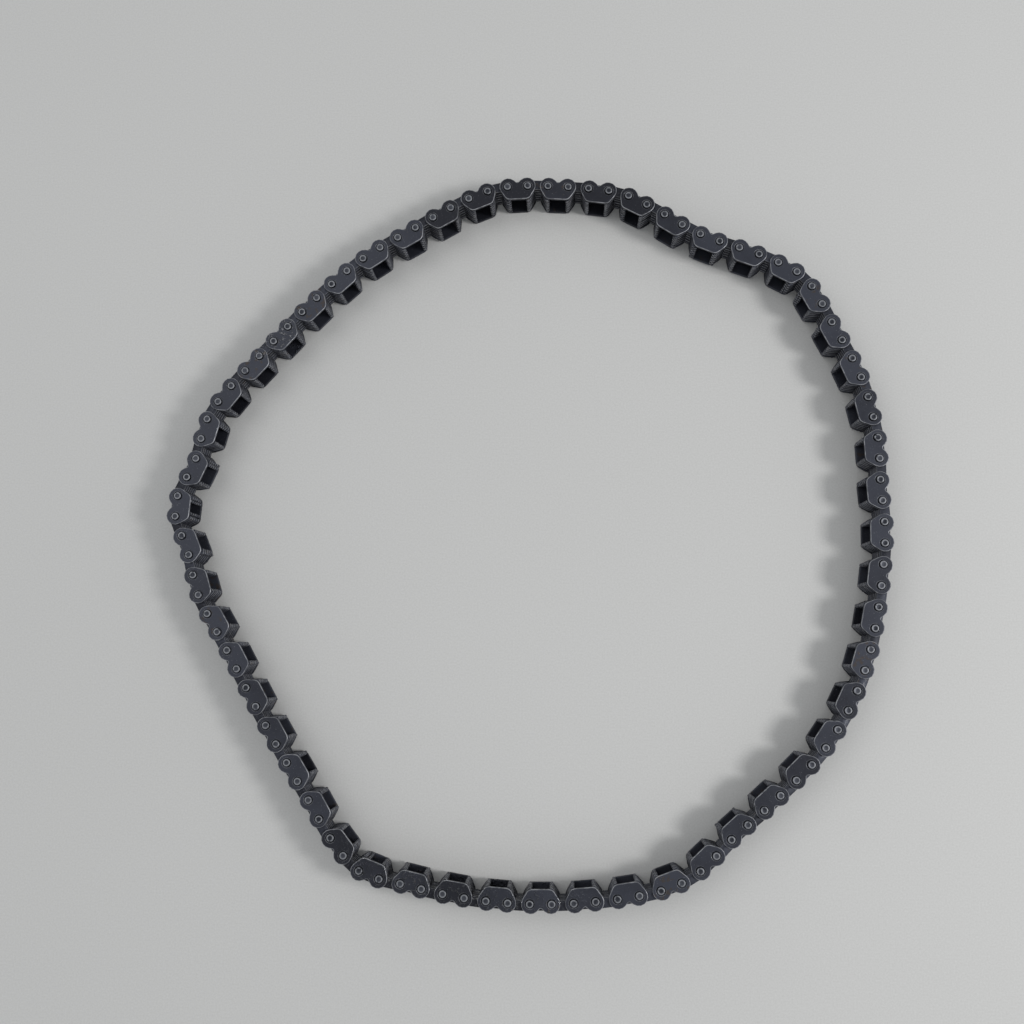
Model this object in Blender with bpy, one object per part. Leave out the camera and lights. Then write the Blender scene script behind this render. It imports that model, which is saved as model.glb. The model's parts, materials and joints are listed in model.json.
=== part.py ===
"""Endless silent chain (inverted-tooth chain), lying on its side in a loose loop.

Toothed plates stand in rows across the chain. Guide links and inner links take turns along it: a guide link
has its row of toothed plates and a plain guide plate on each face, and an inner link has toothed plates only.
A guide link and the inner link after it make one pair, the piece that the loop repeats. In a pair the pins
are riveted into the guide plates, and the inner row hangs on the second pin and reaches round the first pin
of the next pair, where the chain bends.

Each pair is one object, with its origin on the pin where it bends against its parent. The base pair is left
in its separate pieces. X and Y lie in the plane of the loop, and Z runs along the pins.
"""

import math

import bmesh
import bpy
from mathutils import Matrix, Vector
from mathutils.geometry import tessellate_polygon

MM = 0.001

# The chain as a whole
PITCH = 9.525 * MM
PAIR_COUNT = 53
BASE_PAIR = 26

# Pins
PIN_RADIUS = 1.75 * MM
PIN_STANDS_PROUD = 0.6 * MM
PIN_SIDES = 6
BORE_CLEARANCE = 0.15 * MM

# Across the chain
GUIDE_THICKNESS = 1.3 * MM
ROW_THICKNESS = 6.8 * MM
PLATE_CLEARANCE = 0.3 * MM

# Guide plate, measured from its pins: a hump over each pin, a dip between them and a straight lower edge
HUMP_RADIUS = 4.4 * MM
HUMP_ANGLES = (-48, 2, 52)
DIP_HEIGHT = 1.8 * MM
GUIDE_END_REACH = 3.75 * MM
GUIDE_END_DROP = 0.6 * MM
GUIDE_EDGE_DEPTH = 6.2 * MM
GUIDE_CORNER_CUT = 2.6 * MM

# Toothed plate, measured from its pins: a straight back and two toes with a flat-topped crotch between them
BACK_HEIGHT = 3.3 * MM
BACK_CORNER_CUT = 1.5 * MM
PLATE_END_REACH = 3.3 * MM
TOE_DEPTH = 6.4 * MM
TOE_WIDTH = 1.35 * MM
TOE_OVERHANG = 0.4 * MM
FLANK_ANGLE = math.radians(30)
CROTCH_DEPTH = 2.4 * MM
CROTCH_HALF_WIDTH = 3.2 * MM

# Where the loop lies, in millimetres, followed from above the top bend and round to the left
LAY_ROUTE = (
    (1, 162.5), (-18, 160), (-35.5, 152), (-52, 142.5), (-76, 128), (-97.5, 109), (-117, 88.5),
    (-136.5, 67), (-147, 51.5), (-151.5, 33), (-159, 16.5), (-160, 6.5), (-153, -11), (-147.5, -30),
    (-133.5, -54.5), (-114.5, -88), (-94.5, -120), (-84, -136.5), (-71, -150), (-52.5, -155),
    (-24.5, -160.5), (3.5, -162.5), (32, -161), (60, -156), (77, -147.5), (90.5, -134), (112, -115),
    (131.5, -95), (146, -70), (154.5, -43), (160, -5.5), (159, 23.5), (158.5, 42.5), (152, 70),
    (139.5, 96), (131, 113), (124.5, 119.5), (107.5, 128), (81, 138), (56.5, 152.5), (39, 159.5),
)
ROUTE_STEPS = 60
WALK_ROUNDS = 50

# Finish: colour, roughness and metallic value
PLATE_FINISH = ((0.035, 0.037, 0.042), 0.42, 0.9)
PIN_FINISH = ((0.12, 0.12, 0.13), 0.35, 0.95)
SMOOTH_BELOW = math.radians(61)

# Heights, worked out from the stack
LOWER_GUIDE = (PIN_STANDS_PROUD, PIN_STANDS_PROUD + GUIDE_THICKNESS)
GUIDE_ROW = (LOWER_GUIDE[1] + PLATE_CLEARANCE, LOWER_GUIDE[1] + PLATE_CLEARANCE + ROW_THICKNESS)
INNER_ROW = (GUIDE_ROW[1] + PLATE_CLEARANCE, GUIDE_ROW[1] + PLATE_CLEARANCE + ROW_THICKNESS)
UPPER_GUIDE = (INNER_ROW[1] + PLATE_CLEARANCE, INNER_ROW[1] + PLATE_CLEARANCE + GUIDE_THICKNESS)
PIN_LENGTH = UPPER_GUIDE[1] + PIN_STANDS_PROUD
BORE_RADIUS = (PIN_RADIUS + BORE_CLEARANCE) / math.cos(math.pi / PIN_SIDES)


def clear_scene():
    """Removes whatever the scene holds."""
    for obj in list(bpy.data.objects):
        bpy.data.objects.remove(obj, do_unlink=True)


def make_material(name, finish):
    """A plain steel finish."""
    colour, roughness, metallic = finish
    material = bpy.data.materials.new(name)
    material.use_nodes = True
    shader = material.node_tree.nodes["Principled BSDF"]
    shader.inputs["Base Color"].default_value = (*colour, 1)
    shader.inputs["Roughness"].default_value = roughness
    shader.inputs["Metallic"].default_value = metallic
    material.diffuse_color = (*colour, 1)
    return material


# The lay of the loop

def smooth_point(before, start, end, after, share):
    """A point on the smooth curve from start to end, by Catmull and Rom's rule."""
    leave = (end - before) / 2
    arrive = (after - start) / 2
    square = share * share
    cube = square * share
    return (
        start * (2 * cube - 3 * square + 1)
        + leave * (cube - 2 * square + share)
        + end * (3 * square - 2 * cube)
        + arrive * (cube - square)
    )


def lay_curve():
    """The closed curve that the pins follow, as close points."""
    route = [Vector(point) * MM for point in LAY_ROUTE]
    count = len(route)
    curve = []
    for index in range(count):
        four = [route[(index + offset) % count] for offset in (-1, 0, 1, 2)]
        curve += [smooth_point(*four, step / ROUTE_STEPS) for step in range(ROUTE_STEPS)]
    return curve


def walk(curve, chord, steps):
    """Steps of one chord along the curve: the pins, and how far round the last of them is."""
    count = len(curve)
    place = 0
    pins = [curve[0]]
    for _ in range(steps):
        while (curve[(place + 1) % count] - pins[-1]).length < chord:
            place += 1
        low = curve[place % count]
        high = curve[(place + 1) % count]
        inside = (low - pins[-1]).length
        outside = (high - pins[-1]).length
        share = (chord - inside) / (outside - inside)
        pins.append(low.lerp(high, share))
    return pins, (place + share) / count


def pin_places():
    """The pins' centres, evenly pitched along the curve, with the loop closed exactly."""
    curve = lay_curve()
    steps = 2 * PAIR_COUNT
    around = sum((curve[index] - curve[index - 1]).length for index in range(len(curve)))
    low = 0.9 * around / steps
    high = around / steps
    for _ in range(WALK_ROUNDS):
        chord = (low + high) / 2
        if walk(curve, chord, steps)[1] < 1:
            low = chord
        else:
            high = chord
    pins = walk(curve, chord, steps)[0][:steps]
    return [pin * (PITCH / chord) for pin in pins]


# Outlines, in a link's own frame: X from its first pin to its second, Y towards the toes

def mirrored(half):
    """The left half of an outline, from its right half."""
    return [Vector((-point.x, point.y)) for point in reversed(half)]


def guide_outline():
    """A guide plate, centred between its pins."""
    pin = Vector((PITCH / 2, 0))
    end = PITCH / 2 + GUIDE_END_REACH
    angles = [math.radians(angle) for angle in HUMP_ANGLES]
    half = [pin + HUMP_RADIUS * Vector((math.sin(angle), -math.cos(angle))) for angle in angles]
    half.append(Vector((end, GUIDE_END_DROP)))
    half.append(Vector((end - GUIDE_CORNER_CUT, GUIDE_EDGE_DEPTH)))
    return [Vector((0, -DIP_HEIGHT)), *half, *mirrored(half)]


def toothed_outline():
    """A toothed plate, centred between its pins."""
    end = PITCH / 2 + PLATE_END_REACH
    toe_tip = PITCH / 2 + TOE_OVERHANG
    flank_top = TOE_DEPTH - (end - toe_tip) / math.tan(FLANK_ANGLE)
    half = [
        Vector((end - BACK_CORNER_CUT, -BACK_HEIGHT)),
        Vector((end, flank_top)),
        Vector((toe_tip, TOE_DEPTH)),
        Vector((toe_tip - TOE_WIDTH, TOE_DEPTH)),
        Vector((CROTCH_HALF_WIDTH, CROTCH_DEPTH)),
    ]
    return half + mirrored(half)


def placed(outline, start, end):
    """An outline moved onto the two pins of its link."""
    along = (end - start).normalized()
    side = Vector((-along.y, along.x))
    middle = (start + end) / 2
    return [middle + along * point.x + side * point.y for point in outline]


# Solids

def add_loop(bm, points, height):
    """Corners at one height."""
    return [bm.verts.new((*point, height)) for point in points]


def round_points(centre, radius):
    """The corners of a pin or of a bore."""
    turns = [2 * math.pi * side / PIN_SIDES for side in range(PIN_SIDES)]
    return [centre + radius * Vector((math.cos(turn), math.sin(turn))) for turn in turns]


def add_wall(bm, low, high, slot=0):
    """Side faces between two loops of as many corners."""
    for index in range(len(low)):
        face = bm.faces.new((low[index - 1], low[index], high[index], high[index - 1]))
        face.material_index = slot


def add_sheet(bm, outer, holes):
    """A flat face with holes in it."""
    loops = [outer, *holes]
    corners = [corner for loop in loops for corner in loop]
    for triangle in tessellate_polygon([[corner.co for corner in loop] for loop in loops]):
        bm.faces.new([corners[index] for index in triangle])


def add_plate(bm, outline, heights, pins, bores=()):
    """A plate that is one with its pins and open round its bores. Returns a pair of rings for each pin."""
    edges = [add_loop(bm, outline, height) for height in heights]
    collars = [[add_loop(bm, round_points(pin, PIN_RADIUS), height) for height in heights] for pin in pins]
    walls = [[add_loop(bm, round_points(bore, BORE_RADIUS), height) for height in heights] for bore in bores]
    add_wall(bm, *edges)
    for wall in walls:
        add_wall(bm, *wall)
    for side in (0, 1):
        add_sheet(bm, edges[side], [rings[side] for rings in collars + walls])
    return collars


def add_pin(bm, centre, collars=()):
    """A pin, from the foot up through the rings of each plate that it is one with, to the head."""
    foot = add_loop(bm, round_points(centre, PIN_RADIUS), 0)
    head = add_loop(bm, round_points(centre, PIN_RADIUS), PIN_LENGTH)
    top = foot
    for low, high in collars:
        add_wall(bm, top, low, slot=1)
        top = high
    add_wall(bm, top, head, slot=1)
    for cap in (foot, head):
        bm.faces.new(cap).material_index = 1


def finish_object(name, bm, materials, frame):
    """A named object from a mesh drawn in the pair's frame, with its origin and axes at the given frame."""
    bmesh.ops.transform(bm, matrix=frame.inverted(), verts=bm.verts)
    bmesh.ops.recalc_face_normals(bm, faces=bm.faces)
    mesh = bpy.data.meshes.new(name)
    bm.to_mesh(mesh)
    bm.free()
    for material in materials:
        mesh.materials.append(material)
    mesh.shade_smooth()
    mesh.set_sharp_from_angle(angle=SMOOTH_BELOW)
    obj = bpy.data.objects.new(name, mesh)
    bpy.context.scene.collection.objects.link(obj)
    return obj


def fused_pair(name, places, materials, frame):
    """One pair: guide plates, both toothed rows and both pins, held together as they are riveted."""
    first, second, following = places
    bm = bmesh.new()
    guide = placed(guide_outline(), first, second)
    toothed = placed(toothed_outline(), first, second)
    inner = placed(toothed_outline(), second, following)
    lower = add_plate(bm, guide, LOWER_GUIDE, (first, second))
    guide_row = add_plate(bm, toothed, GUIDE_ROW, (first, second))
    inner_row = add_plate(bm, inner, INNER_ROW, (second,), bores=(following,))
    upper = add_plate(bm, guide, UPPER_GUIDE, (first, second))
    add_pin(bm, first, (lower[0], guide_row[0], upper[0]))
    add_pin(bm, second, (lower[1], guide_row[1], inner_row[0], upper[1]))
    return [finish_object(name, bm, materials, frame)]


def lone_plate(name, outline, heights, bores, material, frame):
    """A plate, or a row of them, as a piece by itself."""
    bm = bmesh.new()
    add_plate(bm, outline, heights, (), bores)
    return finish_object(name, bm, [material], frame)


def lone_pin(name, centre, materials, frame):
    """A pin as a piece by itself."""
    bm = bmesh.new()
    add_pin(bm, centre)
    return finish_object(name, bm, materials, frame)


def base_pair(places, materials, frame):
    """The pair that the rest hangs on, in its separate pieces."""
    first, second, following = places
    plates = materials[0]
    guide = placed(guide_outline(), first, second)
    toothed = placed(toothed_outline(), first, second)
    inner = placed(toothed_outline(), second, following)
    own = (first, second)
    return [
        lone_plate("base_guide_row", toothed, GUIDE_ROW, own, plates, frame),
        lone_plate("base_guide_plate_lower", guide, LOWER_GUIDE, own, plates, frame),
        lone_plate("base_guide_plate_upper", guide, UPPER_GUIDE, own, plates, frame),
        lone_plate("base_inner_row", inner, INNER_ROW, (second, following), plates, frame),
        lone_pin("base_pin_first", first, materials, frame),
        lone_pin("base_pin_second", second, materials, frame),
    ]


# The loop

def pair_places(pins, index):
    """The two pins of a pair's guide link, and the first pin of the next pair."""
    return [pins[(2 * index + offset) % len(pins)] for offset in range(3)]


def middle_of_loop(pins):
    """The middle of the box that the plates fill."""
    corners = []
    for index in range(PAIR_COUNT):
        first, second, following = pair_places(pins, index)
        corners += placed(guide_outline(), first, second)
        corners += placed(toothed_outline(), first, second)
        corners += placed(toothed_outline(), second, following)
    across = [corner.x for corner in corners]
    along = [corner.y for corner in corners]
    return Vector((min(across) + max(across), min(along) + max(along))) / 2


def joint_frame(pins, index):
    """Where a pair bends against its parent, turned to run along its guide link."""
    first, second, following = pair_places(pins, index)
    pivot = following if index < BASE_PAIR else first
    along = second - first
    turn = Matrix.Rotation(math.atan2(along.y, along.x), 4, "Z")
    return Matrix.Translation((*pivot, 0)) @ turn


def hang(obj, parent, frame, parent_frame):
    """Places an object by its parent, so that a turn about its own Z bends the chain."""
    obj.parent = parent
    obj.matrix_basis = parent_frame.inverted() @ frame


def build_chain():
    """All the pairs, from the base pair out along both arms of the loop to the pin where they meet."""
    pins = pin_places()
    middle = middle_of_loop(pins)
    pins = [pin - middle for pin in pins]
    materials = [make_material("oiled_steel", PLATE_FINISH), make_material("pin_steel", PIN_FINISH)]
    frames = [joint_frame(pins, index) for index in range(PAIR_COUNT)]
    carriers = {}
    towards_last = range(BASE_PAIR, PAIR_COUNT)
    towards_first = range(BASE_PAIR - 1, -1, -1)
    for index in [*towards_last, *towards_first]:
        places = pair_places(pins, index)
        if index == BASE_PAIR:
            pieces = base_pair(places, materials, frames[index])
            for piece in pieces:
                piece.matrix_basis = frames[index]
        else:
            before = index - 1 if index > BASE_PAIR else index + 1
            pieces = fused_pair(f"link_pair_{index + 1:02d}", places, materials, frames[index])
            hang(pieces[0], carriers[before], frames[index], frames[before])
        carriers[index] = pieces[0]


def main():
    """Builds the chain in an empty scene."""
    clear_scene()
    build_chain()


main()
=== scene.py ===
"""Dressed model of an endless silent chain, lying on its side in a loose loop.

Every link is a stack of thin toothed steel plates. The plates of a guide link and of the inner links beside
it take turns across the chain, and two plain guide plates close each guide link from outside. Riveted pins
hold them. Sizes are in millimetres unless a docstring says otherwise. X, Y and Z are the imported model's.
"""

import json
import logging
import math
from collections.abc import Iterable, Sequence
from dataclasses import dataclass, field
from enum import Enum
from typing import ClassVar

import bmesh
import bpy
from mathutils import Matrix, Vector
from mathutils.geometry import tessellate_polygon


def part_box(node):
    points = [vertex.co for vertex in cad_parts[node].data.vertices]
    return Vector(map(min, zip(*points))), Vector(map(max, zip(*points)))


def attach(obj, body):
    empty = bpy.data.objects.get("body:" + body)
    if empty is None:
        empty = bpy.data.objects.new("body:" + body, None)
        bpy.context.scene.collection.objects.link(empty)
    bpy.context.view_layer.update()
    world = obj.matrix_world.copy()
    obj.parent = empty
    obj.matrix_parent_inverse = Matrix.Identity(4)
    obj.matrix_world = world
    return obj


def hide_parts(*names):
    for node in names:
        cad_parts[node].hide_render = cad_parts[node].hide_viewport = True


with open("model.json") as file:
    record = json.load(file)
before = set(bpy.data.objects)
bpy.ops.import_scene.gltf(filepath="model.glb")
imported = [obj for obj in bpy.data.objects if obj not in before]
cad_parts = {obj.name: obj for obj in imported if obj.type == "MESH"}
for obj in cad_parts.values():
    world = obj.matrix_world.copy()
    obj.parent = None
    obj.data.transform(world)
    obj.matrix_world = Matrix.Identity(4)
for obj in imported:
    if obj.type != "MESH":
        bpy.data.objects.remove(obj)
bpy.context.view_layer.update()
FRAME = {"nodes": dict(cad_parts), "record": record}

MM = 0.001
SHARP_ABOVE = math.radians(52)
TINY = 1e-6
TOLERANCE = 0.01
LOG = logging.getLogger("chain")

Colour = tuple[float, float, float]
Patch = tuple[tuple[float, float], float]


class RecordSlot(Enum):
    """The finishes that the record names."""

    PLATES = "plate_steel"
    PINS = "pin_steel"


class PlateKind(Enum):
    """The sorts of plate, as the layout tree numbers them."""

    GUIDE = 0
    OUTER = 1
    INNER = 2


# Node trees


class Value:
    """A socket that can stand in an arithmetic expression."""

    def __init__(self, tree: "Tree", socket: bpy.types.NodeSocket) -> None:
        """Wraps one output socket of a tree."""
        self.tree = tree
        self.socket = socket

    def _math(self, operation: str, *terms: "Value | float") -> "Value":
        """Adds a Math node.

        Args:
            operation: the Math node's operation.
            terms: its inputs in order.

        Returns:
            The node's result.
        """
        values = dict(enumerate(terms))
        return self.tree.value(self.tree.node("ShaderNodeMath", {"operation": operation}, values))

    def __add__(self, other: "Value | float") -> "Value":
        """Sum."""
        return self._math("ADD", self, other)

    __radd__ = __add__

    def __sub__(self, other: "Value | float") -> "Value":
        """Difference."""
        return self._math("SUBTRACT", self, other)

    def __rsub__(self, other: float) -> "Value":
        """Difference from a number."""
        return self._math("SUBTRACT", other, self)

    def __mul__(self, other: "Value | float") -> "Value":
        """Product."""
        return self._math("MULTIPLY", self, other)

    __rmul__ = __mul__

    def above(self, low: float, high: float) -> "Value":
        """A smooth step from 0 at low to 1 at high.

        Args:
            low: where the step starts.
            high: where it ends.

        Returns:
            The stepped value.
        """
        settings = {"interpolation_type": "SMOOTHSTEP"}
        values = {"Value": self, "From Min": low, "From Max": high, "To Min": 0.0, "To Max": 1.0}
        return self.tree.value(self.tree.node("ShaderNodeMapRange", settings, values))


@dataclass
class Tree:
    """A node tree under construction."""

    nodes: bpy.types.Nodes
    links: bpy.types.NodeLinks

    @staticmethod
    def _socket(sockets: Iterable[bpy.types.NodeSocket], key: str | int) -> bpy.types.NodeSocket:
        """Finds a socket.

        Args:
            sockets: the inputs or outputs of a node.
            key: the socket's identifier, name or place.

        Returns:
            The socket.
        """
        if isinstance(key, int):
            return list(sockets)[key]
        by_identifier = [socket for socket in sockets if socket.identifier == key]
        by_name = [socket for socket in sockets if socket.name == key and socket.enabled]
        return (by_identifier or by_name)[0]

    def node(self, kind: str, settings: dict | None = None, values: dict | None = None) -> bpy.types.Node:
        """Adds a node.

        Args:
            kind: the node's type.
            settings: its properties, which are set first.
            values: what its inputs hold or are linked to, by identifier, name or place.

        Returns:
            The node.
        """
        node = self.nodes.new(kind)
        for name, setting in (settings or {}).items():
            setattr(node, name, setting)
        for key, value in (values or {}).items():
            socket = self._socket(node.inputs, key)
            if isinstance(value, Value):
                self.links.new(value.socket, socket)
            elif isinstance(value, bpy.types.NodeSocket):
                self.links.new(value, socket)
            else:
                socket.default_value = value
        return node

    def output(self, node: bpy.types.Node, key: str | int = 0) -> bpy.types.NodeSocket:
        """An output socket of a node."""
        return self._socket(node.outputs, key)

    def value(self, node: bpy.types.Node, key: str | int = 0) -> Value:
        """An output socket of a node, ready for arithmetic."""
        return Value(self, self.output(node, key))


class ShaderTree(Tree):
    """The node tree of one material."""

    def __init__(self, material: bpy.types.Material) -> None:
        """Empties the material's tree.

        Args:
            material: the material.
        """
        material.use_nodes = True
        tree = material.node_tree
        tree.nodes.clear()
        super().__init__(tree.nodes, tree.links)
        self.place = self.output(self.node("ShaderNodeTexCoord"), "Object")

    def noise(self, size: float, detail: float) -> Value:
        """Soft noise over the object.

        Args:
            size: how far apart its blotches are, in millimetres.
            detail: how many finer layers it has.

        Returns:
            Noise between 0 and 1.
        """
        values = {"Vector": self.place, "Scale": 1 / (size * MM), "Detail": detail}
        return self.value(self.node("ShaderNodeTexNoise", {}, values), "Fac")

    def near(self, spot: tuple[float, float], reach: float) -> Value:
        """How near a place in the plane of the loop is.

        Args:
            spot: its X and Y in millimetres.
            reach: how far it is felt, in millimetres.

        Returns:
            1 at the place, falling to 0 at its reach.
        """
        flattened = {0: self.place, 1: (1.0, 1.0, 0.0)}
        flat = self.node("ShaderNodeVectorMath", {"operation": "MULTIPLY"}, flattened)
        ends = {0: self.output(flat), 1: (spot[0] * MM, spot[1] * MM, 0.0)}
        far = self.node("ShaderNodeVectorMath", {"operation": "DISTANCE"}, ends)
        return self.value(far, "Value").above(reach * MM, 0.0)

    def attribute(self, name: str) -> Value:
        """A number stored on the mesh."""
        return self.value(self.node("ShaderNodeAttribute", {"attribute_name": name}), "Fac")

    def blend(self, share: Value, first: object, second: object) -> bpy.types.NodeSocket:
        """Mixes two colours.

        Args:
            share: how much of the second colour there is.
            first: a colour or a socket.
            second: a colour or a socket.

        Returns:
            The mixed colour.
        """
        first, second = ((*c, 1.0) if isinstance(c, tuple) else c for c in (first, second))
        values = {"Factor_Float": share, "A_Color": first, "B_Color": second}
        return self.output(self.node("ShaderNodeMix", {"data_type": "RGBA"}, values), "Result_Color")

    def relief(self, *layers: tuple[Value, float]) -> bpy.types.NodeSocket:
        """Bump from several layers.

        Args:
            layers: a height from 0 to 1 and its depth in millimetres, for each layer.

        Returns:
            The normal.
        """
        normal = None
        for height, depth in layers:
            values = {"Height": height, "Distance": depth * MM, "Strength": 1.0}
            if normal is not None:
                values["Normal"] = normal
            normal = self.output(self.node("ShaderNodeBump", {}, values))
        return normal

    def finish(self, fixed: dict, varying: dict) -> None:
        """Adds the shader and the output.

        Args:
            fixed: the shader's inputs that are the same everywhere.
            varying: the shader's inputs that change over the surface.
        """
        shader = self.node("ShaderNodeBsdfPrincipled", {}, {**fixed, **varying})
        self.node("ShaderNodeOutputMaterial", {}, {"Surface": self.output(shader)})


# Finishes


@dataclass(frozen=True)
class PlateSteel:
    """Blackened, oily plate steel: pale along its edges from polish and a painted highlight, with painted
    shade at the foot of its walls.
    """

    name: str = "blackened_plate_steel"
    dark: Colour = (0.015, 0.016, 0.023)
    grey: Colour = (0.045, 0.049, 0.066)
    brown: Colour = (0.058, 0.043, 0.033)
    # Pale colour along the edges: partly polish from rubbing, partly painted highlight.
    rubbed_and_sheen: Colour = (0.40, 0.405, 0.43)
    # Near-black painted shade for the foot of the walls, in the gaps between plates.
    painted_gap_shade: Colour = (0.009, 0.0095, 0.013)
    metallic: float = 0.5
    roughness: float = 0.36
    ior: float = 1.5
    coat_ior: float = 1.6
    coat_roughness: float = 0.08
    dry_coat: float = 0.04
    wet_coat: float = 0.9
    cloud_size: float = 7.0
    stain_size: float = 2.4
    drop_size: float = 1.2
    speck_size: float = 0.45
    grain_size: float = 0.3
    stain_depth: float = 0.045
    drop_depth: float = 0.42
    grain_depth: float = 0.008
    # Patches that darken the plates, partly an oily film and partly painted shade; the lower one is also
    # wet.
    oiled_and_shaded: Patch = ((5.0, 165.0), 120.0)
    soaked_and_shaded: Patch = ((-28.0, -158.0), 85.0)
    splashed: Patch = ((-118.0, 92.0), 20.0)

    def material(self) -> bpy.types.Material:
        """Makes the finish.

        Returns:
            A node material on object coordinates and the attributes edge and tone.
        """
        material = bpy.data.materials.new(self.name)
        tree = ShaderTree(material)
        edge = tree.attribute("edge")
        tone = tree.attribute("tone")
        cloud = tree.noise(self.cloud_size, 4.0)
        stain = tree.noise(self.stain_size, 5.0)
        grain = tree.noise(self.grain_size, 2.0)
        drops = tree.noise(self.drop_size, 1.0).above(0.52, 0.7)
        soaked_and_shaded = tree.near(*self.soaked_and_shaded)
        # Darker near the two patches: partly an oily film, partly painted shade over the links there.
        oil_and_shade = (tree.near(*self.oiled_and_shaded) + soaked_and_shaded).above(0.0, 1.2)
        wet = (soaked_and_shaded + tree.near(*self.splashed)).above(0.15, 0.6) * stain.above(0.45, 0.53) * drops
        light = (cloud * 0.5 + tone * 0.65 - 0.45 * oil_and_shade).above(0.1, 0.85)
        base = tree.blend(light, self.dark, self.grey)
        base = tree.blend((tone * stain).above(0.5, 0.6) * 0.7, base, self.brown)
        # Painted shade: below 0 the edge level darkens the colour towards near black.
        base = tree.blend((0.0 - edge).above(0.0, 0.7) * 0.7, base, self.painted_gap_shade)
        # Painted highlight over some polish: a pale colour along the upper edges, toe tips and recess lips,
        # plus random bright specks.
        speck = tree.noise(self.speck_size, 1.0).above(0.7, 0.76) * 0.3
        worn_and_sheen = edge.above(0.55, 0.95) * (0.4 + 0.6 * stain.above(0.38, 0.6)) + speck
        base = tree.blend(worn_and_sheen * 0.9, base, self.rubbed_and_sheen)
        rough = self.roughness + 0.2 * cloud + 0.1 * (grain - 0.5) + 0.1 * tone - 0.1 * worn_and_sheen - 0.26 * wet
        layers = ((grain, self.grain_depth), (stain, self.stain_depth), (wet, self.drop_depth))
        tree.finish(
            {
                "Metallic": self.metallic,
                "IOR": self.ior,
                "Coat IOR": self.coat_ior,
                "Coat Roughness": self.coat_roughness,
            },
            {
                "Base Color": base,
                "Roughness": rough,
                "Coat Weight": self.dry_coat + self.wet_coat * wet,
                "Normal": tree.relief(*layers),
            },
        )
        return material


@dataclass(frozen=True)
class PinSteel:
    """Harder, lighter steel of the riveted pins."""

    name: str = "riveted_pin_steel"
    dark: Colour = (0.026, 0.028, 0.036)
    light: Colour = (0.075, 0.079, 0.094)
    # Pale colour of the painted highlight on the rims of the pin ends.
    rim: Colour = (0.32, 0.327, 0.345)
    metallic: float = 0.85
    roughness: float = 0.34
    ior: float = 1.5
    coat: float = 0.05
    coat_roughness: float = 0.2
    blot_size: float = 1.4
    grain_size: float = 0.2
    blot_depth: float = 0.09
    grain_depth: float = 0.01

    def material(self) -> bpy.types.Material:
        """Makes the finish.

        Returns:
            A node material on object coordinates and the attributes edge and tone.
        """
        material = bpy.data.materials.new(self.name)
        tree = ShaderTree(material)
        edge = tree.attribute("edge")
        tone = tree.attribute("tone")
        blot = tree.noise(self.blot_size, 4.0)
        grain = tree.noise(self.grain_size, 2.0)
        # Painted highlight: the pin ends turn lighter towards their rims, where the pale rim colour is
        # mixed in.
        pale = (blot * 0.8 + tone * 0.5 + edge * 0.2).above(0.3, 0.9)
        base = tree.blend(pale, self.dark, self.light)
        base = tree.blend(edge.above(0.2, 1.0) * blot.above(0.3, 0.5) * 0.9, base, self.rim)
        tree.finish(
            {
                "Metallic": self.metallic,
                "IOR": self.ior,
                "Coat Weight": self.coat,
                "Coat Roughness": self.coat_roughness,
            },
            {
                "Base Color": base,
                "Roughness": self.roughness + 0.2 * blot + 0.1 * tone,
                "Normal": tree.relief((grain, self.grain_depth), (blot, self.blot_depth)),
            },
        )
        return material


@dataclass(frozen=True)
class PaleFloor:
    """A plain pale floor with a faint grain."""

    name: str = "pale_floor"
    colour: Colour = (0.595, 0.588, 0.570)
    light: Colour = (0.675, 0.670, 0.655)
    roughness: float = 0.7
    mottle_size: float = 240.0
    grain_size: float = 0.8

    def material(self) -> bpy.types.Material:
        """Makes the finish.

        Returns:
            A node material on object coordinates.
        """
        material = bpy.data.materials.new(self.name)
        tree = ShaderTree(material)
        mottle = tree.noise(self.mottle_size, 2.0)
        grain = tree.noise(self.grain_size, 3.0)
        share = 0.5 + (grain - 0.5) * 1.8 + (mottle - 0.5) * 0.3
        base = tree.blend(share, self.colour, self.light)
        tree.finish({"Roughness": self.roughness}, {"Base Color": base})
        return material


# Outlines, in a link's own frame: X from its first pin to its second, Y towards the toes


def arc(centre: Vector, radius: float, start: float, end: float, step: float) -> list[Vector]:
    """Points on an arc.

    Args:
        centre: the arc's centre.
        radius: its radius.
        start: the angle of its first point, in degrees.
        end: the angle of its last point, in degrees.
        step: about how many degrees lie between two points.

    Returns:
        The points, both ends included.
    """
    count = max(1, round(abs(end - start) / step))
    turns = [math.radians(start + (end - start) * index / count) for index in range(count + 1)]
    return [centre + radius * Vector((math.cos(turn), math.sin(turn))) for turn in turns]


def rounded(before: Vector, corner: Vector, after: Vector, radius: float, step: float) -> list[Vector]:
    """A corner between two straight edges, rounded.

    Args:
        before: a point on the edge that reaches the corner.
        corner: the sharp corner.
        after: a point on the edge that leaves it.
        radius: the rounding's radius.
        step: about how many degrees lie between two points.

    Returns:
        The points of the rounding.
    """
    back = (before - corner).normalized()
    ahead = (after - corner).normalized()
    half = back.angle(ahead) / 2
    centre = corner + (back + ahead).normalized() * radius / math.sin(half)
    first = corner + back * radius / math.tan(half) - centre
    turn = math.pi - 2 * half
    side = 1 if first.x * (corner - centre).y - first.y * (corner - centre).x > 0 else -1
    start = math.degrees(math.atan2(first.y, first.x))
    return arc(centre, radius, start, start + side * math.degrees(turn), step)


def both_halves(half: Sequence[Vector]) -> list[Vector]:
    """A whole outline from its right half, which runs from the back to the toes.

    Args:
        half: the right half's points; those on the middle line are kept once.

    Returns:
        The closed outline.
    """
    left = [Vector((-point.x, point.y)) for point in reversed(half) if point.x > TINY]
    return [*half, *left]


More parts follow.
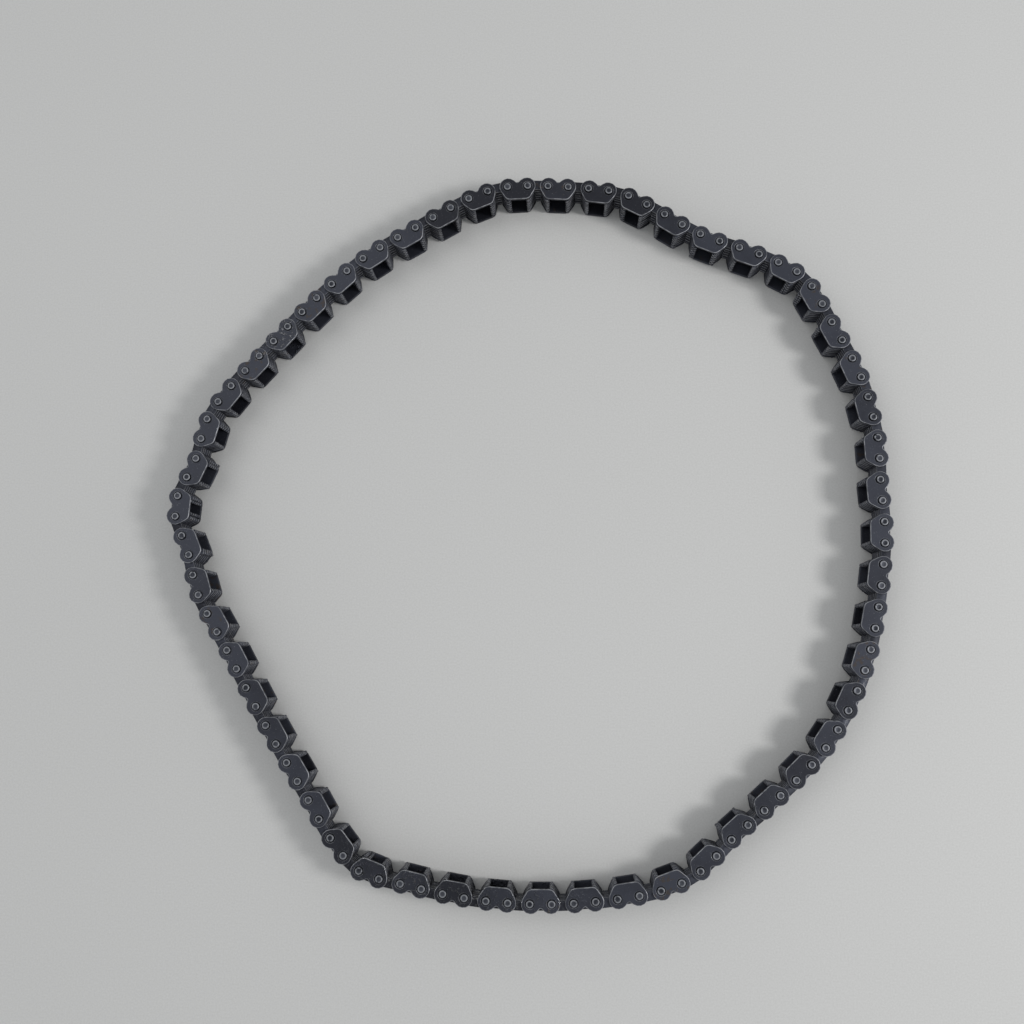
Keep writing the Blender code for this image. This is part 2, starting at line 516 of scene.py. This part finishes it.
def shrunk(outline: Sequence[Vector], inset: float) -> list[Vector]:
    """An outline with every edge moved inwards.

    Args:
        outline: the points, going round with the inside on the left.
        inset: how far the edges move.

    Returns:
        The moved points.
    """
    moved = []
    for index, point in enumerate(outline):
        into = (point - outline[index - 1]).normalized()
        out = (outline[(index + 1) % len(outline)] - point).normalized()
        first = Vector((-into.y, into.x))
        second = Vector((-out.y, out.x))
        moved.append(point + (first + second) * inset / (1 + first.dot(second)))
    return moved


def loft(bm: bmesh.types.BMesh, loops: Sequence[Sequence[bmesh.types.BMVert]]) -> None:
    """Smooth walls from each level of corners to the next.

    Args:
        bm: the mesh.
        loops: the corners of each level, from below up.
    """
    for low, high in zip(loops, loops[1:]):
        for index in range(len(low)):
            wall = bm.faces.new((low[index - 1], low[index], high[index], high[index - 1]))
            wall.smooth = True


@dataclass
class Ring:
    """One level of a lofted edge or bore: how far in it lies, its height and its edge level, which above 0
    gives polish with a painted highlight and below 0 painted shade.
    """

    inset: float
    height: float
    edge: float


@dataclass
class Plate:
    """What all sorts of plate share."""

    pitch: float
    thickness: float
    chamfer: float = 0.14
    curve_step: float = 24.0
    bore_sides: int = 16

    def outline(self) -> list[Vector]:
        """The plate's outline, which each sort of plate gives."""
        raise NotImplementedError

    def rings(self) -> list[Ring]:
        """The levels of the plate's edge from its under face up, which each sort of plate gives."""
        raise NotImplementedError

    def bores(self) -> list[tuple[Vector, list[Ring]]]:
        """The plate's bores: a centre and the levels from the under face up, with radii as insets."""
        return []

    def mesh(self, name: str) -> bpy.types.Object:
        """Builds the plate round the middle of its link, resting on height 0.

        Args:
            name: the object's name.

        Returns:
            The plate as an object, not shown in the scene.
        """
        bm = bmesh.new()
        edge = bm.verts.layers.float.new("edge")
        outline = self.outline()
        edges = [self._loop(bm, edge, shrunk(outline, ring.inset), ring) for ring in self.rings()]
        walls = []
        for centre, rings in self.bores():
            turns = [math.tau * index / self.bore_sides for index in range(self.bore_sides)]
            circle = [Vector((math.cos(turn), math.sin(turn))) for turn in turns]
            walls.append([
                self._loop(bm, edge, [centre + ring.inset * point for point in circle], ring)
                for ring in rings
            ])
        for loops in [edges, *walls]:
            loft(bm, loops)
        for side in (0, -1):
            self._cap(bm, [loops[side] for loops in [edges, *walls]])
        bmesh.ops.recalc_face_normals(bm, faces=bm.faces)
        return hidden_object(name, bm)

    def wear_sheen_and_shade(self, point: Vector, level: float) -> float:
        """How much polish and painted highlight, or below 0 painted shade, a corner gets, which is what its
        level says.
        """
        return level

    def _loop(self, bm: bmesh.types.BMesh, edge: object, points: Sequence[Vector], ring: Ring) -> list:
        """Corners at one level.

        Args:
            bm: the mesh.
            edge: its layer for rubbed edges.
            points: the corners in millimetres.
            ring: the level.

        Returns:
            The corners.
        """
        corners = [bm.verts.new((point.x * MM, point.y * MM, ring.height * MM)) for point in points]
        for corner, point in zip(corners, points):
            corner[edge] = self.wear_sheen_and_shade(point, ring.edge)
        return corners

    @staticmethod
    def _cap(bm: bmesh.types.BMesh, loops: Sequence[list]) -> None:
        """A flat face between an outline and its bores.

        Args:
            bm: the mesh.
            loops: the outline's corners, then those of each bore.
        """
        if len(loops) == 1:
            bm.faces.new(loops[0])
            return
        corners = [corner for loop in loops for corner in loop]
        for triangle in tessellate_polygon([[corner.co for corner in loop] for loop in loops]):
            bm.faces.new([corners[index] for index in triangle])


@dataclass
class GuidePlate(Plate):
    """A plain outer plate: a hump over each pin, a dip between them and a straight lower edge."""

    hump_radius: float = 4.1
    hump_inset: float = 0.35
    hump_rise: float = 0.12
    dip_height: float = 1.6
    dip_rounding: float = 0.8
    edge_depth: float = 6.15
    edge_half: float = 5.25
    corner_rounding: float = 2.4
    chamfer: float = 0.2
    wear_and_sheen_band: float = 0.26
    pin_radius: float = 1.7
    bore_gap: float = 0.15
    recess_radius: float = 2.15
    recess_depth: float = 0.35
    lip_foot: float = 0.05
    lip_width: float = 0.15
    lip_fade: float = 0.35
    lip_drop: float = 0.1
    # Edge levels: polish with a painted highlight on the lips, under side and face; below 0 on the side
    # wall, painted shade.
    lip_foot_wear_and_sheen: float = 0.85
    lip_wear_and_sheen: float = 0.8
    under_wear_and_sheen: float = 0.7
    painted_side_shade: float = -0.5
    face_wear_and_sheen: float = 0.95

    def outline(self) -> list[Vector]:
        """The plate's outline.

        Returns:
            Its points, from the dip round to the lower edge and back.
        """
        middle = Vector((self.pitch / 2 - self.hump_inset, -self.hump_rise))
        dip = Vector((0, -self.dip_height))
        corner = Vector((self.edge_half, self.edge_depth))
        slope = self._tangent(dip, middle, -1)
        flank = self._tangent(corner, middle, 1)
        start = math.degrees(math.atan2(*(slope - middle).yx))
        end = math.degrees(math.atan2(*(flank - middle).yx))
        across = Vector((-slope.x, slope.y))
        dipped = rounded(across, dip, slope, self.dip_rounding, self.curve_step)
        hump = arc(middle, self.hump_radius, start, end, self.curve_step)
        inward = Vector((0, self.edge_depth))
        lower = rounded(flank, corner, inward, self.corner_rounding, self.curve_step)
        right = [point for point in dipped if point.x > -TINY]
        return both_halves([*right, *hump, *lower])

    def _tangent(self, point: Vector, middle: Vector, side: int) -> Vector:
        """Where a line from a point touches the hump.

        Args:
            point: the point outside the hump.
            middle: the hump's centre.
            side: which of the two lines, as the sign of its turn from the line to the centre.

        Returns:
            The touching point.
        """
        to_middle = middle - point
        far = to_middle.length
        turn = side * math.asin(self.hump_radius / far)
        along = Matrix.Rotation(turn, 2) @ to_middle.normalized()
        return point + along * math.sqrt(far * far - self.hump_radius ** 2)

    def rings(self) -> list[Ring]:
        """The levels of the plate's edge.

        Returns:
            The levels, with painted shade low on the side wall and a band on each face where the polish and
            painted highlight of the edge fade out.
        """
        top = self.thickness
        return [
            Ring(self.chamfer + self.wear_and_sheen_band, 0, 0.0),
            Ring(self.chamfer, 0, self.under_wear_and_sheen),
            Ring(0, self.chamfer, self.painted_side_shade),
            Ring(0, top - self.chamfer, 1.0),
            Ring(self.chamfer, top, self.face_wear_and_sheen),
            Ring(self.chamfer + self.wear_and_sheen_band, top, 0.0),
        ]

    def bores(self) -> list[tuple[Vector, list[Ring]]]:
        """The plate's bores.

        Returns:
            Each bore's centre and levels, with a shallow recess round the pin's head whose lip gets polish
            and a painted highlight.
        """
        bore = self.pin_radius + self.bore_gap
        recess = self.recess_radius
        top = self.thickness
        floor = top - self.recess_depth
        levels = [
            Ring(bore, 0, 0.0),
            Ring(bore, floor, 0.0),
            Ring(recess, floor, 0.0),
            Ring(recess + self.lip_foot, top - self.lip_drop, self.lip_foot_wear_and_sheen),
            Ring(recess + self.lip_width, top, self.lip_wear_and_sheen),
            Ring(recess + self.lip_fade, top, 0.0),
        ]
        return [(Vector((side * self.pitch / 2, 0)), levels) for side in (-1, 1)]


@dataclass
class ToothedPlate(Plate):
    """A guide link's toothed plate: slanting flanks and two toes with an upright-sided crotch."""

    back_height: float = 3.3
    back_rounding: float = 2.0
    end_reach: float = 3.9
    shoulder_rounding: float = 2.5
    flank_angle: float = 30.0
    toe_depth: float = 6.4
    toe_outer: float = 5.15
    toe_inner: float = 3.85
    toe_rounding: float = 0.5
    tip_wear_and_sheen: float = 0.25
    crotch_depth: float = 1.0
    crotch_rounding: float = 1.0
    shaded_wear: float = 0.3
    curve_step: float = 45.0

    def side(self) -> list[tuple[Vector, float]]:
        """The outer side.

        Returns:
            Its sharp corners and their roundings, from the plate's end to the toe's tip.
        """
        end = self.pitch / 2 + self.end_reach
        shoulder = self.toe_depth - (end - self.toe_outer) / math.tan(math.radians(self.flank_angle))
        return [
            (Vector((end, shoulder)), self.shoulder_rounding),
            (Vector((self.toe_outer, self.toe_depth)), self.toe_rounding),
        ]

    def outline(self) -> list[Vector]:
        """The plate's outline.

        Returns:
            Its points, from the middle of the back round to the crotch and back.
        """
        end = self.pitch / 2 + self.end_reach
        corners = [
            (Vector((0, -self.back_height)), 0),
            (Vector((end, -self.back_height)), self.back_rounding),
            *self.side(),
            (Vector((self.toe_inner, self.toe_depth)), self.toe_rounding),
            (Vector((self.toe_inner, self.crotch_depth)), self.crotch_rounding),
            (Vector((0, self.crotch_depth)), 0),
        ]
        half: list[Vector] = []
        for (before, _), (corner, radius), (after, _) in zip(corners, corners[1:], corners[2:]):
            half += rounded(before, corner, after, radius, self.curve_step)
        return both_halves(half)

    def rings(self) -> list[Ring]:
        """The levels of the plate's edge.

        Returns:
            A wall with painted shade at its foot and polish with a painted highlight along its upper edge.
        """
        return [
            Ring(0, 0, -1.0),
            Ring(0, self.thickness - self.chamfer, 1.0),
            Ring(self.chamfer, self.thickness, 0.0),
        ]

    def shaded(self, point: Vector) -> bool:
        """Whether a corner lies up in the crotch, where the painted highlight is held low as painted shade.
        """
        return abs(point.x) < self.toe_inner + TOLERANCE and point.y > self.crotch_depth + TOLERANCE

    def wear_sheen_and_shade(self, point: Vector, level: float) -> float:
        """How much polish and painted highlight a corner gets.

        Args:
            point: the corner.
            level: what its level says.

        Returns:
            More painted highlight at the toes' tips and less where the plate is shaded.
        """
        if point.y > self.toe_depth - self.toe_rounding - TOLERANCE:
            return max(level, self.tip_wear_and_sheen)
        return min(level, self.shaded_wear) if self.shaded(point) else level


@dataclass
class InnerPlate(ToothedPlate):
    """An inner link's toothed plate, whose upright toes leave its neighbours' crotches free."""

    shoulder_rounding: float = 1.0
    shoulder_top: float = -0.6
    shoulder_foot: float = 1.6
    foot_rounding: float = 0.8

    def side(self) -> list[tuple[Vector, float]]:
        """The outer side.

        Returns:
            Its sharp corners and their roundings, from the plate's end to the toe's tip.
        """
        end = self.pitch / 2 + self.end_reach
        return [
            (Vector((end, self.shoulder_top)), self.shoulder_rounding),
            (Vector((self.toe_outer, self.shoulder_foot)), self.foot_rounding),
            (Vector((self.toe_outer, self.toe_depth)), self.toe_rounding),
        ]

    def shaded(self, point: Vector) -> bool:
        """Whether a corner lies up in a crotch, its own or a neighbour's."""
        return super().shaded(point) or (abs(point.x) > self.toe_inner and point.y > self.shoulder_top)


@dataclass
class Pin:
    """A pin with both ends riveted: a raised rim round a shallow hollow."""

    radius: float
    length: float
    shoulder: float = 0.3
    rim: float = 1.42
    hollow: float = 0.75
    hollow_depth: float = 0.12
    rim_width: float = 0.3
    rim_dip: float = 0.03
    bevel_width: float = 0.15
    bevel_depth: float = 0.06
    slope_sheen: float = 0.7
    sides: int = 16

    def profile(self) -> list[tuple[float, float, float]]:
        """One end of the pin, from the middle of its face outwards.

        Returns:
            Radius, depth below the end and painted highlight of each level.
        """
        return [
            (self.hollow, self.hollow_depth, 0.0),
            (self.rim - self.rim_width, self.rim_dip, self.slope_sheen),
            (self.rim, 0.0, 1.0),
            (self.rim + self.bevel_width, self.bevel_depth, self.slope_sheen),
            (self.radius, self.shoulder, 0.0),
        ]

    def mesh(self, name: str) -> bpy.types.Object:
        """Builds the pin upright on height 0.

        Args:
            name: the object's name.

        Returns:
            The pin as an object, not shown in the scene.
        """
        bm = bmesh.new()
        edge = bm.verts.layers.float.new("edge")
        under = self.profile()
        upper = [(radius, self.length - depth, bright) for radius, depth, bright in reversed(under)]
        loops = []
        for radius, height, bright in [*under, *upper]:
            points = arc(Vector((0, 0)), radius, 0, 360, 360 / self.sides)[:-1]
            corners = [bm.verts.new((point.x * MM, point.y * MM, height * MM)) for point in points]
            for corner in corners:
                corner[edge] = bright
            loops.append(corners)
        loft(bm, loops)
        for loop in (loops[0], loops[-1]):
            bm.faces.new(loop)
        bmesh.ops.recalc_face_normals(bm, faces=bm.faces)
        return hidden_object(name, bm)


def hidden_object(name: str, bm: bmesh.types.BMesh) -> bpy.types.Object:
    """A pattern object that isn't in the scene.

    Args:
        name: its name.
        bm: its mesh, which is freed.

    Returns:
        The object.
    """
    mesh = bpy.data.meshes.new(name)
    bm.to_mesh(mesh)
    bm.free()
    mesh.set_sharp_from_angle(angle=SHARP_ABOVE)
    return bpy.data.objects.new(name, mesh)


# Laying plates and pins out


@dataclass
class Spot:
    """Where one plate or pin lies: its place in metres, its turn and its kind."""

    place: Vector
    turn: tuple[float, float, float]
    kind: int = 0


@dataclass
class Layout:
    """The tree that lays patterns on spots, each with a little play of its own."""

    name: str
    patterns: list[bpy.types.Object]
    material: bpy.types.Material
    play: float = 0.0
    twist: float = 0.0
    group: bpy.types.NodeTree = field(init=False)
    sockets: dict[str, str] = field(init=False)

    def __post_init__(self) -> None:
        """Builds the tree."""
        self.group = bpy.data.node_groups.new(self.name, "GeometryNodeTree")
        kinds = {
            "Spots": "NodeSocketGeometry",
            "Play": "NodeSocketFloat",
            "Twist": "NodeSocketFloat",
            "Seed": "NodeSocketInt",
            "Finish": "NodeSocketMaterial",
        }
        kinds |= {self._pattern(number): "NodeSocketObject" for number in range(len(self.patterns))}
        made = {
            name: self.group.interface.new_socket(name=name, in_out="INPUT", socket_type=kind)
            for name, kind in kinds.items()
        }
        self.sockets = {name: socket.identifier for name, socket in made.items()}
        self.group.interface.new_socket(name="Pieces", in_out="OUTPUT", socket_type="NodeSocketGeometry")
        self._fill(Tree(self.group.nodes, self.group.links))

    @staticmethod
    def _pattern(number: int) -> str:
        """The name of the input that holds a pattern."""
        return f"Pattern {number + 1}"

    def _fill(self, tree: Tree) -> None:
        """Adds the nodes.

        Args:
            tree: the empty tree.
        """
        inputs = tree.node("NodeGroupInput")
        kind = self._named(tree, "kind", "INT")
        turn = self._named(tree, "turn", "FLOAT_VECTOR")
        join = tree.node("GeometryNodeJoinGeometry")
        for number in range(len(self.patterns)):
            pattern = tree.node(
                "GeometryNodeObjectInfo", {}, {"Object": tree.output(inputs, self._pattern(number))}
            )
            chosen = tree.node(
                "FunctionNodeCompare",
                {"data_type": "INT", "operation": "EQUAL"},
                {"A_INT": kind, "B_INT": number},
            )
            laid = tree.node(
                "GeometryNodeInstanceOnPoints",
                {},
                {
                    "Points": tree.output(inputs, "Spots"),
                    "Selection": tree.output(chosen),
                    "Instance": tree.output(pattern, "Geometry"),
                    "Rotation": turn,
                },
            )
            tree.links.new(tree.output(laid), join.inputs[0])
        shift = tree.node("ShaderNodeCombineXYZ", {}, {
            "X": self._random(tree, inputs, "Play", 1),
            "Y": self._random(tree, inputs, "Play", 2),
        })
        moved = tree.node("GeometryNodeTranslateInstances", {}, {
            "Instances": tree.output(join),
            "Translation": tree.output(shift),
        })
        spin = tree.node("ShaderNodeCombineXYZ", {}, {"Z": self._random(tree, inputs, "Twist", 3)})
        turned = tree.node("GeometryNodeRotateInstances", {}, {
            "Instances": tree.output(moved),
            "Rotation": tree.output(spin),
        })
        tone = tree.node("FunctionNodeRandomValue", {"data_type": "FLOAT"}, {
            "Seed": tree.output(inputs, "Seed"),
        })
        settings = {"data_type": "FLOAT", "domain": "INSTANCE"}
        stored = tree.node("GeometryNodeStoreNamedAttribute", settings, {
            "Geometry": tree.output(turned),
            "Name": "tone",
            "Value": tree.output(tone, "Value_001"),
        })
        real = tree.node("GeometryNodeRealizeInstances", {}, {"Geometry": tree.output(stored)})
        dressed = tree.node("GeometryNodeSetMaterial", {}, {
            "Geometry": tree.output(real),
            "Material": tree.output(inputs, "Finish"),
        })
        tree.node("NodeGroupOutput", {}, {"Pieces": tree.output(dressed)})

    @staticmethod
    def _named(tree: Tree, name: str, data_type: str) -> bpy.types.NodeSocket:
        """A number stored on the spots.

        Args:
            tree: the tree.
            name: the attribute's name.
            data_type: its type.

        Returns:
            The attribute's socket.
        """
        node = tree.node("GeometryNodeInputNamedAttribute", {"data_type": data_type}, {"Name": name})
        return tree.output(node, "Attribute")

    @staticmethod
    def _random(tree: Tree, inputs: bpy.types.Node, amount: str, offset: int) -> bpy.types.NodeSocket:
        """A random number for each piece, within an amount either way.

        Args:
            tree: the tree.
            inputs: the tree's input node.
            amount: the input that gives the amount.
            offset: what is added to the seed.

        Returns:
            The number's socket.
        """
        seed = tree.value(inputs, "Seed") + offset
        node = tree.node("FunctionNodeRandomValue", {"data_type": "FLOAT"}, {
            "Min_001": -1.0,
            "Max_001": 1.0,
            "Seed": seed,
        })
        return (tree.value(node, "Value_001") * tree.value(inputs, amount)).socket

    def lay(self, name: str, spots: Sequence[Spot], seed: int) -> bpy.types.Object:
        """Lays one piece out and makes it a plain mesh.

        Args:
            name: the piece's name.
            spots: where its plates or pins lie.
            seed: the seed of its random play.

        Returns:
            The piece, in the scene.
        """
        cloud = bpy.data.meshes.new(f"{name}_spots")
        cloud.from_pydata([spot.place for spot in spots], [], [])
        kinds = cloud.attributes.new("kind", "INT", "POINT")
        turns = cloud.attributes.new("turn", "FLOAT_VECTOR", "POINT")
        for index, spot in enumerate(spots):
            kinds.data[index].value = spot.kind
            turns.data[index].vector = spot.turn
        carrier = bpy.data.objects.new(f"{name}_carrier", cloud)
        bpy.context.scene.collection.objects.link(carrier)
        modifier = carrier.modifiers.new("Layout", "NODES")
        modifier.node_group = self.group
        values = {
            "Play": self.play * MM,
            "Twist": math.radians(self.twist),
            "Seed": seed,
            "Finish": self.material,
        }
        values |= {self._pattern(number): pattern for number, pattern in enumerate(self.patterns)}
        for key, value in values.items():
            modifier[self.sockets[key]] = value
        carrier.update_tag()
        graph = bpy.context.evaluated_depsgraph_get()
        mesh = bpy.data.meshes.new_from_object(carrier.evaluated_get(graph), depsgraph=graph)
        bpy.data.objects.remove(carrier)
        bpy.data.meshes.remove(cloud)
        mesh.name = name
        piece = bpy.data.objects.new(name, mesh)
        bpy.context.scene.collection.objects.link(piece)
        return piece


# The chain


@dataclass
class Pair:
    """One body of the frame: a guide link and the inner link after it."""

    body: str
    nodes: list[str]
    pins: list[Vector] = field(default_factory=list)
    foot_height: ClassVar[float] = 0.01
    pin_reach: ClassVar[float] = 4.5

    def find_pins(self) -> None:
        """Reads the centres of the pair's two pins from the feet of its solids."""
        feet = {
            (round(vertex.co.x, 6), round(vertex.co.y, 6))
            for node in self.nodes
            for vertex in FRAME["nodes"][node].data.vertices
            if vertex.co.z < self.foot_height * MM
        }
        groups: list[list[Vector]] = []
        for foot in sorted(feet):
            point = Vector(foot)
            near = [group for group in groups if (group[0] - point).length < self.pin_reach * MM]
            if near:
                near[0].append(point)
            else:
                groups.append([point])
        self.pins = [sum(group, Vector((0, 0))) / len(group) for group in groups]


@dataclass
class Chain:
    """The whole chain: its lacing across, its plates and its pins."""

    pitch: float = 9.525
    guide_thickness: float = 1.3
    plate_gap: float = 0.04
    inner_count: int = 6
    outer_count: int = 5
    pin_radius: float = 1.7
    pin_turn: float = 2.0
    play: float = 0.07
    twist: float = 0.3
    seed_step: int = 10
    plate_seed: int = 1
    pin_seed: int = 5
    pairs: list[Pair] = field(default_factory=list)

    def read_frame(self) -> None:
        """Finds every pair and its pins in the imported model, in order round the loop."""
        members = FRAME["record"]["behaviour"]["bodies"]
        for body in members:
            if body != "base":
                self.pairs.append(Pair(body, list(members[body])))
        self.pairs.sort(key=lambda pair: pair.body)
        base = Pair("base", list(members["base"]))
        self.pairs.insert(self._base_place(), base)
        for pair in self.pairs:
            pair.find_pins()
        for pair, following in zip(self.pairs, [*self.pairs[1:], self.pairs[0]]):
            goal = sum(following.pins, Vector((0, 0))) / len(following.pins)
            pair.pins.sort(key=lambda pin: -(pin - goal).length)

    def _base_place(self) -> int:
        """Where the base belongs among the numbered pairs: at the number that is missing."""
        numbers = [int(pair.body.split("_")[1]) for pair in self.pairs]
        return next(index for index, number in enumerate(numbers) if number != index + 1)

    def build(self) -> None:
        """Makes two pieces for every body: its plates and its pins."""
        boxes = [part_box(node) for pair in self.pairs for node in pair.nodes]
        low = min(box[0].z for box in boxes) / MM
        high = max(box[1].z for box in boxes) / MM
        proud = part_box("base_guide_plate_lower")[0].z / MM
        inside = high - low - 2 * (proud + self.guide_thickness)
        count = self.inner_count + self.outer_count
        thickness = (inside - (count + 1) * self.plate_gap) / count
        guide = GuidePlate(self.pitch, self.guide_thickness, pin_radius=self.pin_radius)
        outer = ToothedPlate(self.pitch, thickness)
        inner = InnerPlate(self.pitch, thickness)
        plate_steel = PlateSteel().material()
        pin_steel = PinSteel().material()
        patterns = [guide.mesh("guide_plate"), outer.mesh("outer_plate"), inner.mesh("inner_plate")]
        plates = Layout("plate_stack", patterns, plate_steel, self.play, self.twist)
        pins = Layout("pin_row", [Pin(self.pin_radius, high - low).mesh("pin")], pin_steel)
        first_level = proud + self.guide_thickness + self.plate_gap
        levels = [first_level + index * (thickness + self.plate_gap) for index in range(count)]
        top = high - proud - self.guide_thickness
        for number, pair in enumerate(self.pairs):
            following = self.pairs[(number + 1) % len(self.pairs)]
            first, second = pair.pins
            spots = self._guide_spots(first, second, proud, top)
            spots += self._toothed_spots(first, second, levels[1::2], PlateKind.OUTER)
            spots += self._toothed_spots(second, following.pins[0], levels[0::2], PlateKind.INNER)
            seed = self.seed_step * number
            stack = plates.lay(f"{pair.body}_plates", spots, seed + self.plate_seed)
            self._dress(stack, pair, RecordSlot.PLATES)
            pin_spots = [
                Spot(Vector((*pin, low * MM)), (0, 0, number + self.pin_turn * index))
                for index, pin in enumerate(pair.pins)
            ]
            row = pins.lay(f"{pair.body}_pins", pin_spots, seed + self.pin_seed)
            self._dress(row, pair, RecordSlot.PINS)

    @staticmethod
    def _dress(piece: bpy.types.Object, pair: Pair, slot: RecordSlot) -> None:
        """Hangs a piece on its body.

        Args:
            piece: the piece.
            pair: the body's pair.
            slot: the record's finish that it stands for, which here only picks which of the base's solids
                it hides.
        """
        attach(piece, pair.body)
        nodes = pair.nodes
        if pair.body == "base":
            for_pins = slot is RecordSlot.PINS
            nodes = [node for node in pair.nodes if ("pin" in node) == for_pins]
        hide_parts(*nodes)
        LOG.info("%s on %s: %d faces", piece.name, pair.body, len(piece.data.polygons))

    @staticmethod
    def _turn(start: Vector, end: Vector) -> float:
        """The angle of a link from its first pin to its second."""
        return math.atan2(*(end - start).yx)

    def _guide_spots(self, start: Vector, end: Vector, low: float, high: float) -> list[Spot]:
        """The two guide plates of a link, recesses outwards.

        Args:
            start: the link's first pin.
            end: its second pin.
            low: the under side of the lower plate.
            high: the under side of the upper plate.

        Returns:
            Their spots.
        """
        middle = (start + end) / 2
        turn = self._turn(start, end)
        kind = PlateKind.GUIDE.value
        return [
            Spot(Vector((*middle, (low + self.guide_thickness) * MM)), (0, math.pi, turn), kind),
            Spot(Vector((*middle, high * MM)), (0, 0, turn), kind),
        ]

    def _toothed_spots(
        self, start: Vector, end: Vector, levels: Sequence[float], kind: PlateKind
    ) -> list[Spot]:
        """The toothed plates of a link.

        Args:
            start: the link's first pin.
            end: its second pin.
            levels: the under sides of the plates.
            kind: the sort of plate.

        Returns:
            Their spots.
        """
        middle = (start + end) / 2
        turn = (0, 0, self._turn(start, end))
        return [Spot(Vector((*middle, level * MM)), turn, kind.value) for level in levels]


# The studio


@dataclass(frozen=True)
class Lamp:
    """A square lamp aimed at the middle of the floor; its place and size are in metres."""

    name: str
    place: tuple[float, float, float]
    size: float
    power: float


@dataclass
class Studio:
    """Floor, light and camera; the floor's size is in metres and the focal length in pixels."""

    floor_size: float = 6.0
    sky_colour: Colour = (0.62, 0.64, 0.66)
    sky_strength: float = 0.75
    lamps: tuple[Lamp, ...] = (
        Lamp("key_lamp", (1.05, -0.15, 0.95), 0.3, 7.5),
        Lamp("fill_lamp", (-0.8, 0.5, 1.5), 1.0, 4.0),
    )
    picture_size: int = 1024
    sensor_width: float = 36.0
    clip: tuple[float, float] = (0.01, 20.0)
    focal_length: float = 1100.0
    plumb: tuple[float, float] = (53.2, 138.9)
    camera_place: tuple[float, float, float] = (18.5, -53.9, 510.8)

    def build(self) -> None:
        """Sets up the floor, the light and the camera."""
        self._floor()
        self._light()
        self._camera()

    def _floor(self) -> None:
        """Adds a plain pale floor."""
        half = self.floor_size / 2
        mesh = bpy.data.meshes.new("floor")
        corners = [(-half, -half, 0), (half, -half, 0), (half, half, 0), (-half, half, 0)]
        mesh.from_pydata(corners, [], [(0, 1, 2, 3)])
        mesh.materials.append(PaleFloor().material())
        floor = bpy.data.objects.new("floor", mesh)
        bpy.context.scene.collection.objects.link(floor)

    def _light(self) -> None:
        """Adds an even sky and the lamps."""
        world = bpy.data.worlds.new("studio")
        bpy.context.scene.world = world
        world.use_nodes = True
        background = world.node_tree.nodes["Background"]
        background.inputs["Color"].default_value = (*self.sky_colour, 1.0)
        background.inputs["Strength"].default_value = self.sky_strength
        for lamp in self.lamps:
            light = bpy.data.lights.new(lamp.name, "AREA")
            light.size = lamp.size
            light.energy = lamp.power
            obj = bpy.data.objects.new(lamp.name, light)
            obj.location = lamp.place
            obj.rotation_euler = (-Vector(lamp.place)).to_track_quat("-Z", "Y").to_euler()
            bpy.context.scene.collection.objects.link(obj)

    def _camera(self) -> None:
        """Adds the camera, looking almost straight down."""
        camera = bpy.data.cameras.new("camera")
        camera.sensor_width = self.sensor_width
        camera.lens = self.sensor_width * self.focal_length / self.picture_size
        camera.clip_start, camera.clip_end = self.clip
        down = Vector((*self.plumb, self.focal_length)).normalized()
        right = Vector((0, 1, 0)).cross(down).normalized()
        fore = down.cross(right)
        turn = Matrix((
            (right.x, -right.y, -right.z),
            (-fore.x, fore.y, fore.z),
            (-down.x, down.y, down.z),
        ))
        obj = bpy.data.objects.new("camera", camera)
        obj.rotation_euler = turn.to_euler()
        obj.location = Vector(self.camera_place) * MM
        bpy.context.scene.collection.objects.link(obj)
        bpy.context.scene.camera = obj


def main() -> None:
    """Dresses the chain and sets up the studio."""
    logging.basicConfig(level=logging.INFO, format="%(message)s")
    bpy.context.scene.view_settings.view_transform = "Standard"
    chain = Chain()
    chain.read_frame()
    chain.build()
    Studio().build()


if __name__ == "__main__":
    main()
